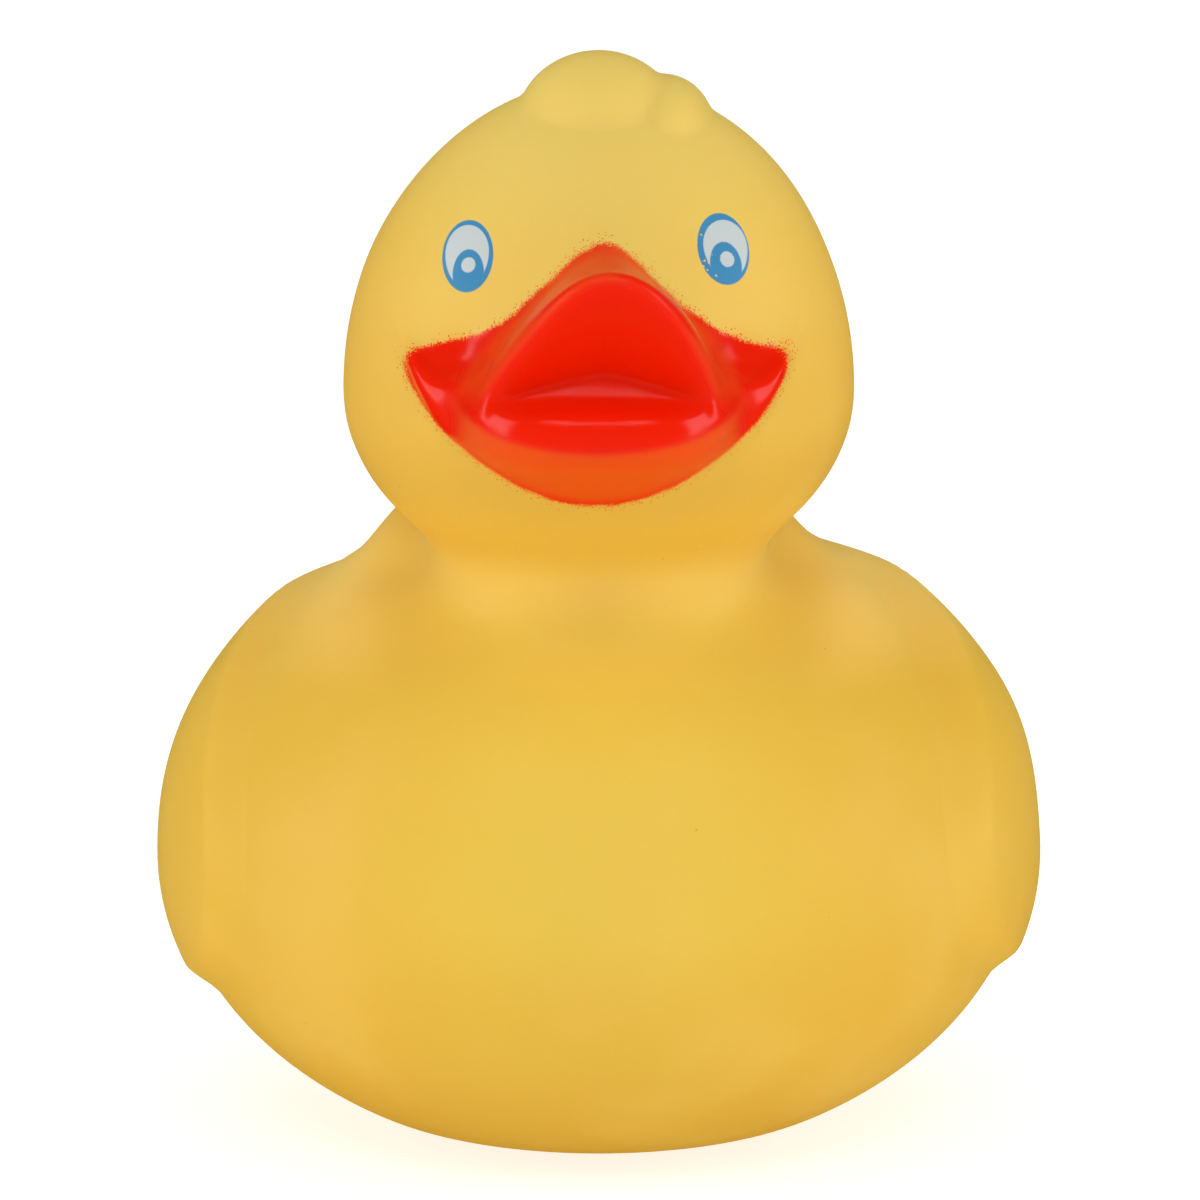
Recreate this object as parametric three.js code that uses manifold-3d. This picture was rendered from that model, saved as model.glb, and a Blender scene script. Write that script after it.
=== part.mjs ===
// A bath duck: one hollow rotocast shell of soft vinyl, with an open bill, raised wings and a lobed tuft.
// Millimetres, +Z up. The duck faces -Y and stands on the floor at z = 0, with the origin under its middle.
// The outer skin is the zero level of a smooth signed field; the inner skin is the same trunk one wall in.

import * as THREE from 'three';
import { mergeVertices } from 'three/addons/utils/BufferGeometryUtils.js';
import Module from 'manifold-3d';

const wasm = await Module();
wasm.setup();

// ---------------------------------------------------------------- driving dimensions

const WALL = 2.0;
const HOLLOW_BACK_Y = 37;
const VINYL = { colour: 0xe8bd55, roughness: 0.45, metalness: 0.0 };

// Eggs are ellipsoids whose radii differ on the two sides of their centre: low is towards -x, -y and -z.
const BODY = { centre: [0, 1, 22.2], low: [35.25, 38, 25.0], high: [35.25, 39, 28.2] };
const CAPE = { centre: [-0.4, 4, 40], low: [20.6, 20, 16.5], high: [19.8, 20, 16.5] };
const HEAD = { centre: [0, -12, 62.6], low: [20.5, 20.5, 15.9], high: [20.5, 21.0, 24.6] };
const NECK = { centre: [0, -10.5, 46], low: [12.4, 13.5, 20], high: [12.4, 14.5, 18] };
// The crown of the head sits a little towards the duck's left.
const CROWN = { lean: 0.3, lowZ: 72, highZ: 84 };
const BIG_LOBE = { centre: [0, -13.5, 83.9], low: [6.6, 8.0, 4.6], high: [6.5, 10.0, 5.85] };
const SMALL_LOBE = { centre: [5.1, -12.8, 83.6], low: [4.2, 8.0, 4.0], high: [4.1, 8.0, 4.2] };
const TAIL = { root: [0, 13, 31.5], tip: [0, 42.7, 47.6], rootRadius: 17.0, tipRadius: 3.4, widen: 1.45 };

// Wing outline in side view, on a long axis that climbs towards the tail.
const WING = { y: 6, z: 27.4, climb: 0.16, front: 28, back: 36, above: 16.1, below: 15.5, leftLift: 1.5 };
const WING_RELIEF = { height: 1.25, edge: 0.13, innerX: 10, outerX: 17 };
const WING_CREST = { right: 0.4, left: 0.9, from: -4, full: 8 };

// Upper bill: a vault whose arch is a gable at the face and a parabola at the rim.
const VAULT = { crown: 75.9, dipY: -38.5, upturn: 0.01, halfWidth: 10.7, arch: 12.1, floorZ: 62.4 };
const VAULT_ARCH = { rootPower: 1.5, rimPower: 2.0, rootY: -31, fullY: -40 };
const VAULT_RIM = { tipY: -46.4, sweep: 12.6, power: 2.6 };
const VAULT_LEAN = { root: 0.55, tip: 0.4, fromY: -30, toY: -46, lowZ: 63, highZ: 73 };
const BILL_BACK_Y = -16;

// Mouth: an arched roof that falls back to a crease, and a shallow basin behind the lip.
const ROOF = { rimZ: 73.9, fall: 8.8, halfWidth: 9.1, inset: 0.6, power: 1.15, slope: 0.72 };
const CREASE = { y: -39, sweep: 2.2, z: 67.6, fall: 3.0, power: 1.4, lean: -0.3 };
const BASIN = { halfWidth: 7.6, backY: -36.2, wall: 1.9, z: 64.5 };

// Lower bill: a short scoop with a rounded lip, and a thin flare out to each cheek.
const SCOOP = { halfWidth: 10.4, length: 14.8, y: -27, power: 2.6, slope: 11, lipZ: 64.8, lipRise: -0.006 };
const FLARE = { stand: 1.8, z: 65.8, from: 9, rise: 0.008, halfWidth: 15 };
const CHIN = { backY: -30, backZ: 55.9, backRise: 0.044, run: 11, slope: 0.9 };
const CHIN_FRONT = { z: 60.4, rise: 0.014 };
const DIMPLE = { centre: [13, -31.2, 68.0], low: [3.6, 2.8, 2.0], high: [3.6, 2.8, 2.0] };

// Widths over which two neighbouring forms flow into each other.
const BLEND = {
  tail: 10.5,
  cape: 2.5,
  neck: 6.0,
  head: 5.5,
  base: 2.4,
  hollow: 7.5,
  lobes: 0.6,
  tuft: 0.7,
  upperBill: 5.5,
  lowerBill: 3.0,
  vaultRim: 2.0,
  vaultFloor: 2.2,
  mouthSide: 3.0,
  mouthBack: 0.6,
  mouthRim: 3.6,
  basinCorner: 2.0,
  basinEdge: 1.4,
  lip: 2.4,
  flare: 2.0,
  flareJoin: 3.6,
  chin: 2.1,
  billBack: 1.5,
  dimple: 2.2,
};
const VENT = { radius: 1.5, y: 2.0, depth: 12, sides: 24 };

// Mesh: the grid is close around the bill and wide over the round body.
const STEP = { outer: 4.1, bill: 1.5, inner: 4.8 };
const OUTER_GRID = {
  x: { from: -39, to: 39, closeFrom: -16, closeTo: 16 },
  y: { from: -48, to: 49, closeFrom: -48, closeTo: -27 },
  z: { from: -3, to: 91, closeFrom: 55, closeTo: 78.5 },
};
const INNER_GRID = {
  x: { from: -36, to: 36, closeFrom: 0, closeTo: 0 },
  y: { from: -38, to: 40, closeFrom: 0, closeTo: 0 },
  z: { from: 0.5, to: 88, closeFrom: 40, closeTo: 40 },
};
const SETTLE = { turns: 8, reach: 0.01, leastSlope: 0.05, longestStep: 0.8, flatWithin: 0.002 };
const RELAX = { rounds: 4, share: 0.6 };
const WELD = 1e-4;
const TINY = 1e-9;

// ---------------------------------------------------------------- field tools

// The smaller of two levels, with a fillet where they lie within a width of each other.
function smoothMin(a, b, width) {
  const near = Math.max(width - Math.abs(a - b), 0) / width;
  return Math.min(a, b) - (near ** 3 * width) / 6;
}

function smoothMax(a, b, width) {
  return -smoothMin(-a, -b, width);
}

function smoothStep(from, to, value) {
  const t = Math.min(Math.max((value - from) / (to - from), 0), 1);
  return t * t * (3 - 2 * t);
}

// About the distance to an egg's skin: its implicit value over its own slope.
function egg(p, { centre, low, high }) {
  let level = 0;
  let slope = 0;
  for (let i = 0; i < 3; i += 1) {
    const q = p[i] - centre[i];
    const r = q < 0 ? low[i] : high[i];
    level += (q / r) ** 2;
    slope += (q / (r * r)) ** 2;
  }
  level = Math.sqrt(level);
  return (level * (level - 1)) / Math.max(Math.sqrt(slope), TINY);
}

// A cone with round ends, between two balls of different size.
function roundCone(p, a, b, radiusA, radiusB) {
  const along = new THREE.Vector3(...b).sub(new THREE.Vector3(...a));
  const from = new THREE.Vector3(...p).sub(new THREE.Vector3(...a));
  const length2 = along.lengthSq();
  const taper = radiusA - radiusB;
  const slant2 = length2 - taper * taper;
  const y = from.dot(along);
  const z = y - length2;
  const off2 = from.clone().multiplyScalar(length2).addScaledVector(along, -y).lengthSq();
  const y2 = y * y * length2;
  const z2 = z * z * length2;
  const k = Math.sign(taper) * taper * taper * off2;
  if (Math.sign(z) * slant2 * z2 > k) return Math.sqrt(off2 + z2) / length2 - radiusB;
  if (Math.sign(y) * slant2 * y2 < k) return Math.sqrt(off2 + y2) / length2 - radiusA;
  return (Math.sqrt((off2 * slant2) / length2) + y * taper) / length2 - radiusA;
}

// ---------------------------------------------------------------- the duck's forms

// How far the wings stand out of the body at a point: full inside the outline, nothing outside it.
function wingRelief([x, y, z]) {
  const along = y - WING.y;
  const up = z - WING.z - WING.climb * along - (x > 0 ? WING.leftLift : 0);
  const reach = along < 0 ? WING.front : WING.back;
  const height = up < 0 ? WING.below : WING.above;
  const inside = 1 - Math.hypot(along / reach, up / height);
  const swell = smoothStep(WING_CREST.from, WING_CREST.full, up);
  const crest = (x > 0 ? WING_CREST.left : WING_CREST.right) * swell;
  const outline = smoothStep(0, WING_RELIEF.edge, inside);
  const flank = smoothStep(WING_RELIEF.innerX, WING_RELIEF.outerX, Math.abs(x));
  return (WING_RELIEF.height + crest) * outline * flank;
}

function tail([x, y, z]) {
  return roundCone([x / TAIL.widen, y, z], TAIL.root, TAIL.tip, TAIL.rootRadius, TAIL.tipRadius);
}

// Body, tail, shoulders, neck and head, cut off flat where the duck stands.
function trunk(p, relief) {
  let d = smoothMin(egg(p, BODY) - relief, tail(p), BLEND.tail);
  d = smoothMin(d, egg(p, CAPE), BLEND.cape);
  d = smoothMin(d, egg(p, NECK), BLEND.neck);
  const [x, y, z] = p;
  const lean = CROWN.lean * smoothStep(CROWN.lowZ, CROWN.highZ, z);
  d = smoothMin(d, egg([x - lean, y, z], HEAD), BLEND.head);
  return smoothMax(d, -p[2], BLEND.base);
}

function tuft(p) {
  return smoothMin(egg(p, BIG_LOBE), egg(p, SMALL_LOBE), BLEND.lobes);
}

// How far a point lies from the upper bill's own middle plane, which leans a little to the duck's left.
function aside([x, y, z]) {
  const lean = VAULT_LEAN.root + VAULT_LEAN.tip * smoothStep(VAULT_LEAN.fromY, VAULT_LEAN.toY, y);
  return Math.abs(x - lean * smoothStep(VAULT_LEAN.lowZ, VAULT_LEAN.highZ, z));
}

// How far forward the upper bill's rim reaches at a distance aside.
function rimY(side) {
  return VAULT_RIM.tipY + VAULT_RIM.sweep * (side / VAULT.halfWidth) ** VAULT_RIM.power;
}

// The upper bill, solid until the mouth is cut out of it.
function vault(p) {
  const [, y, z] = p;
  const side = aside(p);
  const share = side / VAULT.halfWidth;
  const gable = smoothStep(VAULT_ARCH.fullY, VAULT_ARCH.rootY, y);
  const power = VAULT_ARCH.rimPower + (VAULT_ARCH.rootPower - VAULT_ARCH.rimPower) * gable;
  const fallSlope = (VAULT.arch * power * share ** (power - 1)) / VAULT.halfWidth;
  const crown = VAULT.crown + VAULT.upturn * (y - VAULT.dipY) ** 2;
  const top = (z - crown + VAULT.arch * share ** power) / Math.hypot(1, fallSlope);
  const rimSlope = (VAULT_RIM.power * VAULT_RIM.sweep * share ** (VAULT_RIM.power - 1)) / VAULT.halfWidth;
  const front = (rimY(side) - y) / Math.hypot(1, rimSlope);
  const d = smoothMax(smoothMax(top, front, BLEND.vaultRim), VAULT.floorZ - z, BLEND.vaultFloor);
  return smoothMax(d, y - BILL_BACK_Y, BLEND.billBack);
}

// The space under the arched roof of the mouth.
function mouth(p) {
  const [, y, z] = p;
  const side = aside(p);
  const share = side / ROOF.halfWidth;
  const front = rimY(side);
  const creaseY = CREASE.y + CREASE.sweep * share ** VAULT_RIM.power;
  const run = Math.min(Math.max((y - front - ROOF.inset) / (creaseY - front - ROOF.inset), 0), 1);
  const rimZ = ROOF.rimZ - ROOF.fall * share ** 2;
  const creaseZ = CREASE.z - CREASE.fall * share ** CREASE.power;
  const under = (z - rimZ - (creaseZ - rimZ) * run ** ROOF.power) * ROOF.slope;
  const d = smoothMax(under, side - ROOF.halfWidth, BLEND.mouthSide);
  const back = (y - creaseY - CREASE.lean * (creaseZ - z)) / Math.hypot(1, CREASE.lean);
  return smoothMax(d, back, BLEND.mouthBack);
}

// Height of the underside of the lower bill, from the chin forward to the lip.
function chinHeight(x, y) {
  const back = CHIN.backZ + CHIN.backRise * x * x;
  const front = CHIN_FRONT.z + CHIN_FRONT.rise * x * x;
  return back + ((front - back) * (CHIN.backY - y)) / CHIN.run;
}

// The outline of the lower bill's scoop, seen from above.
function scoopPlan([x, y]) {
  const across = Math.abs(x / SCOOP.halfWidth) ** SCOOP.power;
  const along = Math.abs((y - SCOOP.y) / SCOOP.length) ** SCOOP.power;
  return ((across + along) ** (1 / SCOOP.power) - 1) * SCOOP.slope;
}

// The lower bill, solid until the basin is cut out of it.
function jaw(p) {
  const [x, y, z] = p;
  const side = Math.abs(x);
  const scoop = smoothMax(scoopPlan(p), z - SCOOP.lipZ - SCOOP.lipRise * x * x, BLEND.lip);
  const flareTop = FLARE.z + FLARE.rise * Math.max(side - FLARE.from, 0) ** 3;
  const flare = smoothMax(egg(p, HEAD) - FLARE.stand, z - flareTop, BLEND.flare);
  let d = smoothMin(scoop, smoothMax(flare, side - FLARE.halfWidth, BLEND.flare), BLEND.flareJoin);
  d = smoothMax(d, (chinHeight(x, y) - z) * CHIN.slope, BLEND.chin);
  return smoothMax(d, y - BILL_BACK_Y, BLEND.billBack);
}

// The shallow basin behind the lip.
function basin(p) {
  const [x, y, z] = p;
  let d = smoothMax(Math.abs(x) - BASIN.halfWidth, scoopPlan(p) + BASIN.wall, BLEND.basinCorner);
  d = smoothMax(d, y - BASIN.backY, BLEND.basinCorner);
  return smoothMax(d, BASIN.z - z, BLEND.basinEdge);
}

function outerSkin(x, y, z) {
  const p = [x, y, z];
  let d = smoothMin(trunk(p, wingRelief(p)), tuft(p), BLEND.tuft);
  d = smoothMin(d, smoothMax(vault(p), -mouth(p), BLEND.mouthRim), BLEND.upperBill);
  d = smoothMin(d, smoothMax(jaw(p), -basin(p), BLEND.basinEdge), BLEND.lowerBill);
  return smoothMax(d, -egg([Math.abs(x), y, z], DIMPLE), BLEND.dimple);
}

// The hollow follows the trunk one wall further in; the tail's point and the bill are cast solid.
function innerSkin(x, y, z) {
  return smoothMax(trunk([x, y, z], 0) + WALL, y - HOLLOW_BACK_Y, BLEND.hollow);
}

// ---------------------------------------------------------------- meshing

// Grid lines from one end to the other, close together between two stops and wide apart elsewhere, with one
// more line past each end so that the outermost cells are empty.
function gridLines({ from: start, to: end, closeFrom, closeTo }, wide, close) {
  const lines = [start - wide];
  const fill = (from, to, step) => {
    const count = to > from ? Math.max(Math.round((to - from) / step), 1) : 0;
    for (let i = 0; i < count; i += 1) lines.push(from + ((to - from) * i) / count);
  };
  fill(start, closeFrom, wide);
  fill(closeFrom, closeTo, close);
  fill(closeTo, end, wide);
  lines.push(end, end + wide);
  return lines;
}

// Moves a point along the field's slope until it lies on the zero level.
function settle(field, p) {
  for (let turn = 0; turn < SETTLE.turns; turn += 1) {
    const d = field(...p);
    const slope = [0, 1, 2].map((axis) => {
      const ahead = [...p];
      const behind = [...p];
      ahead[axis] += SETTLE.reach;
      behind[axis] -= SETTLE.reach;
      return (field(...ahead) - field(...behind)) / (2 * SETTLE.reach);
    });
    const steep = slope[0] ** 2 + slope[1] ** 2 + slope[2] ** 2;
    const whole = d / Math.max(steep, SETTLE.leastSlope);
    const step = Math.min(Math.max(whole, -SETTLE.longestStep), SETTLE.longestStep);
    for (let axis = 0; axis < 3; axis += 1) p[axis] -= slope[axis] * step;
  }
  if (Math.abs(p[2]) < SETTLE.flatWithin) p[2] = 0;
  return p;
}

// Evens out a mesh: each vertex moves towards its neighbours' middle and is put back on the zero level.
function relax(field, positions, faces) {
  const neighbours = Array.from({ length: positions.length / 3 }, () => new Set());
  for (let f = 0; f < faces.length; f += 3) {
    for (let n = 0; n < 3; n += 1) neighbours[faces[f + n]].add(faces[f + ((n + 1) % 3)]);
  }
  for (let round = 0; round < RELAX.rounds; round += 1) {
    const before = positions.slice();
    neighbours.forEach((ring, vertex) => {
      const p = [0, 1, 2].map((axis) => {
        let sum = 0;
        for (const other of ring) sum += before[3 * other + axis];
        return before[3 * vertex + axis] * (1 - RELAX.share) + (sum / ring.size) * RELAX.share;
      });
      settle(field, p).forEach((value, axis) => {
        positions[3 * vertex + axis] = value;
      });
    });
  }
}

// A closed mesh of a field's zero level: one vertex in each grid cell that the level passes through, and one
// four-sided face across each grid edge that it crosses.
function levelMesh(field, xs, ys, zs) {
  const [nx, ny, nz] = [xs.length, ys.length, zs.length];
  const at = (i, j, k) => (k * ny + j) * nx + i;
  const values = new Float64Array(nx * ny * nz);
  for (let k = 0; k < nz; k += 1) {
    for (let j = 0; j < ny; j += 1) {
      for (let i = 0; i < nx; i += 1) values[at(i, j, k)] = field(xs[i], ys[j], zs[k]);
    }
  }
  const positions = [];
  const cellVertex = new Map();
  const corners = [0, 1, 2, 3, 4, 5, 6, 7].map((c) => [c & 1, (c >> 1) & 1, c >> 2]);
  const edges = [];
  for (const bit of [1, 2, 4]) {
    for (let c = 0; c < 8; c += 1) if (!(c & bit)) edges.push([c, c | bit]);
  }
  for (let k = 0; k < nz - 1; k += 1) {
    for (let j = 0; j < ny - 1; j += 1) {
      for (let i = 0; i < nx - 1; i += 1) {
        const level = corners.map(([a, b, c]) => values[at(i + a, j + b, k + c)]);
        const sum = [0, 0, 0];
        let crossings = 0;
        for (const [from, to] of edges) {
          if (level[from] < 0 === level[to] < 0) continue;
          const t = level[from] / (level[from] - level[to]);
          const [a, b] = [corners[from], corners[to]];
          sum[0] += xs[i + a[0]] + (xs[i + b[0]] - xs[i + a[0]]) * t;
          sum[1] += ys[j + a[1]] + (ys[j + b[1]] - ys[j + a[1]]) * t;
          sum[2] += zs[k + a[2]] + (zs[k + b[2]] - zs[k + a[2]]) * t;
          crossings += 1;
        }
        if (!crossings) continue;
        cellVertex.set(at(i, j, k), positions.length / 3);
        positions.push(...settle(field, sum.map((v) => v / crossings)));
      }
    }
  }
  const faces = [];
  const distance2 = (a, b) => {
    const gap = (axis) => positions[3 * a + axis] - positions[3 * b + axis];
    return gap(0) ** 2 + gap(1) ** 2 + gap(2) ** 2;
  };
  // Splits a four-sided face along its shorter diagonal.
  const addFace = (ring, flip) => {
    const [a, b, c, d] = flip ? [...ring].reverse() : ring;
    if (distance2(a, c) <= distance2(b, d)) faces.push(a, b, c, a, c, d);
    else faces.push(b, c, d, b, d, a);
  };
  for (let k = 1; k < nz - 1; k += 1) {
    for (let j = 1; j < ny - 1; j += 1) {
      for (let i = 1; i < nx - 1; i += 1) {
        const here = values[at(i, j, k)] < 0;
        const cell = (di, dj, dk) => cellVertex.get(at(i - di, j - dj, k - dk));
        if (here !== values[at(i + 1, j, k)] < 0) {
          addFace([cell(0, 1, 1), cell(0, 0, 1), cell(0, 0, 0), cell(0, 1, 0)], !here);
        }
        if (here !== values[at(i, j + 1, k)] < 0) {
          addFace([cell(1, 0, 1), cell(1, 0, 0), cell(0, 0, 0), cell(0, 0, 1)], !here);
        }
        if (here !== values[at(i, j, k + 1)] < 0) {
          addFace([cell(1, 1, 0), cell(0, 1, 0), cell(0, 0, 0), cell(1, 0, 0)], !here);
        }
      }
    }
  }
  relax(field, positions, faces);
  const vertProperties = new Float32Array(positions);
  const triVerts = new Uint32Array(faces);
  return new wasm.Mesh({ numProp: 3, vertProperties, triVerts });
}

// ---------------------------------------------------------------- the shell

function fieldSolid(field, grid, wide, close) {
  const [xs, ys, zs] = [grid.x, grid.y, grid.z].map((axis) => gridLines(axis, wide, close));
  return new wasm.Manifold(levelMesh(field, xs, ys, zs));
}

// The vent that lets the casting breathe in its mould, straight through the flat base.
function ventSolid() {
  let pin = new THREE.CylinderGeometry(VENT.radius, VENT.radius, VENT.depth, VENT.sides);
  pin.rotateX(Math.PI / 2);
  pin.translate(0, VENT.y, 0);
  pin.deleteAttribute('normal');
  pin.deleteAttribute('uv');
  pin = mergeVertices(pin, WELD);
  const vertProperties = new Float32Array(pin.getAttribute('position').array);
  const triVerts = new Uint32Array(pin.getIndex().array);
  return new wasm.Manifold(new wasm.Mesh({ numProp: 3, vertProperties, triVerts }));
}

function toGeometry(solid) {
  const { vertProperties, triVerts } = solid.getMesh();
  const geometry = new THREE.BufferGeometry();
  geometry.setAttribute('position', new THREE.BufferAttribute(vertProperties, 3));
  geometry.setIndex(new THREE.BufferAttribute(triVerts, 1));
  geometry.computeVertexNormals();
  return geometry;
}

function duckBody() {
  const skin = fieldSolid(outerSkin, OUTER_GRID, STEP.outer, STEP.bill);
  const hollow = fieldSolid(innerSkin, INNER_GRID, STEP.inner, STEP.inner);
  const shell = skin.subtract(hollow).subtract(ventSolid());
  const { colour, roughness, metalness } = VINYL;
  const material = new THREE.MeshStandardMaterial({ color: colour, roughness, metalness });
  const mesh = new THREE.Mesh(toGeometry(shell), material);
  mesh.name = 'duck_body';
  return mesh;
}

const duck = new THREE.Group();
duck.name = 'rubber_duck';
duck.add(duckBody());

export default duck;
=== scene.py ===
"""A bath duck of rotocast vinyl with a sprayed bill and pad-printed eyes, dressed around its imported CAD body.

The duck is one shell. Its fine outer skin is the zero level of a smooth signed field, in millimetres, made
from the same eggs, cone, arches and scoop as the CAD body. The duck faces -Y and stands at z = 0.
"""

import logging
import math
from dataclasses import dataclass
from enum import Enum

import bpy
import numpy as np
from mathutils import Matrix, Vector


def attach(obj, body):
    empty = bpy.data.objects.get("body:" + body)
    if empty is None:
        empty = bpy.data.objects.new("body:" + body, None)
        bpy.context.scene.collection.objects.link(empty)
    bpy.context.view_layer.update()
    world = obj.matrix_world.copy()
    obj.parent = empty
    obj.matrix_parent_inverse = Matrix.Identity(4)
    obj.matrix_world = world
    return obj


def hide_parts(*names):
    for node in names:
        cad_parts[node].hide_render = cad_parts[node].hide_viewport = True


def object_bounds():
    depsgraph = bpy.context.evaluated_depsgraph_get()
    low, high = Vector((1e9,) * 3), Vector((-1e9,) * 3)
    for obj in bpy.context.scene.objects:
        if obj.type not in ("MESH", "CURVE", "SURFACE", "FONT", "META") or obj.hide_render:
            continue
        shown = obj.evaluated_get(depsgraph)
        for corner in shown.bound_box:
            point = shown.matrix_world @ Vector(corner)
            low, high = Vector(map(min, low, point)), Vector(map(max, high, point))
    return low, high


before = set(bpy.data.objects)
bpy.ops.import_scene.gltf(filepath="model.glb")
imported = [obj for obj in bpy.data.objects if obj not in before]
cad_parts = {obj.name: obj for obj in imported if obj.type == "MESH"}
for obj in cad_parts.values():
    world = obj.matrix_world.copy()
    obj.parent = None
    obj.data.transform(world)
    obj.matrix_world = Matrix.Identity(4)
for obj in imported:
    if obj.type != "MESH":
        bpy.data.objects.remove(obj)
CAD_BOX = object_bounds()

LOG = logging.getLogger("duck")
MM = 0.001
# Keeps a division from meeting zero.
TINY = 1e-9
Points = tuple[np.ndarray, np.ndarray, np.ndarray]
Span = tuple[float, float]
Triple = tuple[float, float, float]
Tree = bpy.types.NodeTree
Node = bpy.types.Node
Socket = bpy.types.NodeSocket


# ---- field tools


def smooth_min(a: np.ndarray, b: np.ndarray, width: float) -> np.ndarray:
    """Joins two levels with a fillet.

    Args:
        a: One level, in mm.
        b: The other level, in mm.
        width: How far apart the two may be and still blend, in mm.

    Returns:
        The smaller of the two, rounded where they are close.
    """
    near = np.maximum(width - np.abs(a - b), 0.0) / width
    return np.minimum(a, b) - near**3 * width / 6.0


def smooth_max(a: np.ndarray, b: np.ndarray, width: float) -> np.ndarray:
    """Returns the larger of two levels, rounded where they lie within width of each other."""
    return -smooth_min(-a, -b, width)


def smooth_step(start: float, end: float, value: np.ndarray) -> np.ndarray:
    """Returns 0 before start, 1 after end, and an even S-curve between."""
    t = np.clip((value - start) / (end - start), 0.0, 1.0)
    return t * t * (3.0 - 2.0 * t)


@dataclass(frozen=True)
class Egg:
    """An ellipsoid whose three radii differ on the two sides of its centre."""

    centre: Triple
    low: Triple
    high: Triple

    def level(self, p: Points) -> np.ndarray:
        """Measures points against the egg's skin.

        Args:
            p: The points, in mm.

        Returns:
            About the distance to the skin, negative inside.
        """
        across = [v - c for v, c in zip(p, self.centre)]
        radii = [np.where(q < 0, a, b) for q, a, b in zip(across, self.low, self.high)]
        reach = np.sqrt(sum((q / r) ** 2 for q, r in zip(across, radii)))
        slope = np.sqrt(sum((q / r**2) ** 2 for q, r in zip(across, radii)))
        return reach * (reach - 1.0) / np.maximum(slope, TINY)


@dataclass(frozen=True)
class RoundCone:
    """A cone with a ball at each end, widened sideways."""

    root: Triple
    tip: Triple
    root_radius: float
    tip_radius: float
    widen: float

    def level(self, p: Points) -> np.ndarray:
        """Measures points against the cone's skin.

        Args:
            p: The points, in mm.

        Returns:
            About the distance to the skin, negative inside.
        """
        axis = np.subtract(self.tip, self.root)
        length2 = float(axis @ axis)
        taper = self.root_radius - self.tip_radius
        slant2 = length2 - taper**2
        px, py, pz = p[0] / self.widen - self.root[0], p[1] - self.root[1], p[2] - self.root[2]
        along = px * axis[0] + py * axis[1] + pz * axis[2]
        past = along - length2
        off2 = sum((q * length2 - a * along) ** 2 for q, a in zip((px, py, pz), axis))
        along2, past2 = along**2 * length2, past**2 * length2
        edge = np.sign(taper) * taper**2 * off2
        tip = np.sqrt(off2 + past2) / length2 - self.tip_radius
        root = np.sqrt(off2 + along2) / length2 - self.root_radius
        side = (np.sqrt(off2 * slant2 / length2) + along * taper) / length2 - self.root_radius
        inner = np.where(np.sign(along) * slant2 * along2 < edge, root, side)
        return np.where(np.sign(past) * slant2 * past2 > edge, tip, inner)


# ---- the duck's forms


@dataclass(frozen=True)
class Wings:
    """A raised teardrop on each flank, on a long axis that climbs towards the tail."""

    y: float = 6.0
    z: float = 27.4
    climb: float = 0.16
    front: float = 28.0
    back: float = 36.0
    above: float = 16.1
    below: float = 15.5
    left_lift: float = 1.5
    height: float = 1.25
    edge: float = 0.13
    right_crest: float = 0.4
    left_crest: float = 0.9
    crest_up: Span = (-4.0, 8.0)
    side_x: Span = (10.0, 17.0)

    def relief(self, p: Points) -> np.ndarray:
        """Measures the wings' relief.

        Args:
            p: The points, in mm.

        Returns:
            How far the wings stand out of the body at each point, in mm.
        """
        along = p[1] - self.y
        up = p[2] - self.z - self.climb * along - self.left_lift * (p[0] > 0)
        reach = np.where(along < 0, self.front, self.back)
        tall = np.where(up < 0, self.below, self.above)
        inside = 1.0 - np.sqrt((along / reach) ** 2 + (up / tall) ** 2)
        aside = smooth_step(*self.side_x, np.abs(p[0]))
        crest = np.where(p[0] > 0, self.left_crest, self.right_crest)
        crest = crest * smooth_step(*self.crest_up, up)
        return (self.height + crest) * smooth_step(0.0, self.edge, inside) * aside


@dataclass(frozen=True)
class Trunk:
    """Body, wings, tail, neck and head, cut off flat where the duck stands."""

    body: Egg = Egg((0, 1, 22.2), (35.25, 38, 25.0), (35.25, 39, 28.2))
    tail: RoundCone = RoundCone((0, 13, 31.5), (0, 42.7, 47.6), 17.0, 3.4, 1.45)
    cape: Egg = Egg((-0.4, 4, 40), (20.6, 20, 16.5), (19.8, 20, 16.5))
    neck: Egg = Egg((0, -10.5, 46), (12.4, 13.5, 20), (12.4, 14.5, 18))
    head: Egg = Egg((0, -12, 62.6), (20.5, 20.5, 15.9), (20.5, 21.0, 24.6))
    wings: Wings = Wings()
    tail_fillet: float = 10.5
    cape_fillet: float = 2.5
    neck_fillet: float = 6.0
    head_fillet: float = 5.5
    crown_lean: float = 0.3
    crown_z: Span = (72.0, 84.0)
    base_edge: float = 2.4

    def level(self, p: Points) -> np.ndarray:
        """Measures points against the trunk's skin.

        Args:
            p: The points, in mm.

        Returns:
            About the distance to the skin, negative inside.
        """
        d = smooth_min(self.body.level(p) - self.wings.relief(p), self.tail.level(p), self.tail_fillet)
        d = smooth_min(d, self.cape.level(p), self.cape_fillet)
        d = smooth_min(d, self.neck.level(p), self.neck_fillet)
        lean = self.crown_lean * smooth_step(*self.crown_z, p[2])
        d = smooth_min(d, self.head.level((p[0] - lean, p[1], p[2])), self.head_fillet)
        return smooth_max(d, -p[2], self.base_edge)


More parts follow.
